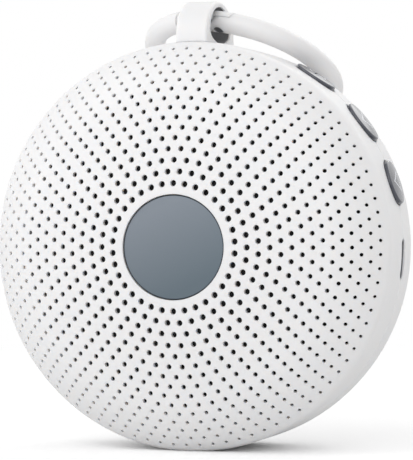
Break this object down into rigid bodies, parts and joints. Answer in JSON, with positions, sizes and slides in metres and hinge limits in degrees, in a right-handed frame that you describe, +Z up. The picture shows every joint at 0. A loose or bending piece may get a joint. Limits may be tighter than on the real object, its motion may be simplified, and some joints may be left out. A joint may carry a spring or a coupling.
{
  "type": "white noise sound machine",
  "caption": "Palm-size round sound machine standing on its rim, with a perforated domed front, rim buttons, a charging slot and a carrying ring in a lug on top.",
  "frame": {"origin": "middle of the small flat on the rim that the object stands on", "axes": "+Z up, +X to the right seen from the front, -Y out of the perforated front"},
  "size_m": [0.09, 0.0645, 0.0994],
  "materials": {
    "white_plastic": "fine satin moulding",
    "plate_metal": "satin",
    "adhesive": "clear film",
    "lining_cloth": "fine woven",
    "black_plastic": "moulded",
    "screw_steel": "zinc plated",
    "basket_steel": "black coated",
    "foam": "closed cell",
    "surround_rubber": "moulded",
    "cone_paper": "pressed paper",
    "coil_copper": "enamelled wire",
    "spider_cloth": "resin dipped",
    "plated_steel": "zinc plated",
    "ferrite": "sintered",
    "terminal_board": "phenolic sheet",
    "circuit_board": "solder mask",
    "chip_plastic": "moulded",
    "capacitor_can": "drawn can",
    "connector_plastic": "moulded",
    "socket_steel": "drawn",
    "button_plastic": "polished",
    "mark_ink": "inlaid",
    "battery_foil": "laminate pouch",
    "red_sleeve": "extruded",
    "black_sleeve": "extruded",
    "liner_rubber": "moulded",
    "pin_steel": "plain"
  },
  "bodies": {
    "body": {"front_shell": "white_plastic", "rear_shell": "white_plastic", "ring_lug": "white_plastic", "centre_plate": "plate_metal", "centre_plate_adhesive": "adhesive", "hole_lining": "lining_cloth", "inner_frame": "black_plastic", "shell_screws": "screw_steel", "speaker_screws": "screw_steel", "board_screws": "screw_steel", "speaker_basket": "basket_steel", "speaker_gasket": "foam", "speaker_surround": "surround_rubber", "speaker_cone": "cone_paper", "speaker_dust_cap": "cone_paper", "speaker_voice_coil": "coil_copper", "speaker_spider": "spider_cloth", "speaker_front_plate": "plated_steel", "speaker_magnet": "ferrite", "speaker_back_plate": "plated_steel", "speaker_terminal": "terminal_board", "main_board": "circuit_board", "sound_chip": "chip_plastic", "amplifier_chip": "chip_plastic", "memory_chip": "chip_plastic", "power_inductor": "chip_plastic", "board_capacitors": "capacitor_can", "battery_connector": "connector_plastic", "speaker_connector": "connector_plastic", "charging_socket": "socket_steel", "charging_tongue": "black_plastic", "battery_cell": "battery_foil", "battery_pad": "foam", "battery_lead_red": "red_sleeve", "battery_lead_black": "black_sleeve", "speaker_lead_red": "red_sleeve", "speaker_lead_black": "black_sleeve", "lug_liner": "liner_rubber", "upper_switch": "chip_plastic", "middle_switch": "chip_plastic", "lower_switch": "chip_plastic"},
    "ring": {"ring_anchor": "white_plastic", "ring_hinge_pin": "pin_steel"},
    "gate": {"ring_gate": "white_plastic"},
    "upper_press": {"upper_button": "button_plastic", "upper_button_mark": "mark_ink", "upper_switch_plunger": "black_plastic"},
    "middle_press": {"middle_button": "button_plastic", "middle_button_mark": "mark_ink", "middle_switch_plunger": "black_plastic"},
    "lower_press": {"lower_button": "button_plastic", "lower_button_mark": "mark_ink", "lower_switch_plunger": "black_plastic"}
  },
  "joints": [
    {"name": "ring_swing", "type": "hinge", "parent": "body", "child": "ring", "pos_m": [0, 0.00154, 0.09523], "axis": [0.9734, -0.2182, -0.0694], "range_deg": [0, 225]},
    {"name": "ring_gate_open", "type": "hinge", "parent": "ring", "child": "gate", "pos_m": [0.00388, 0.00101, 0.0948], "axis": [-0.1564, -0.4127, -0.8973], "range_deg": [0, 8]},
    {"name": "upper_button_press", "type": "slide", "parent": "body", "child": "upper_press", "axis": [-0.5592, 0, -0.829], "range_m": [0, 0.0006], "stiffness_N_per_m": 2000},
    {"name": "middle_button_press", "type": "slide", "parent": "body", "child": "middle_press", "axis": [-0.7955, 0, -0.606], "range_m": [0, 0.0006], "stiffness_N_per_m": 2000},
    {"name": "lower_button_press", "type": "slide", "parent": "body", "child": "lower_press", "axis": [-0.95, 0, -0.3123], "range_m": [0, 0.0006], "stiffness_N_per_m": 2000}
  ]
}
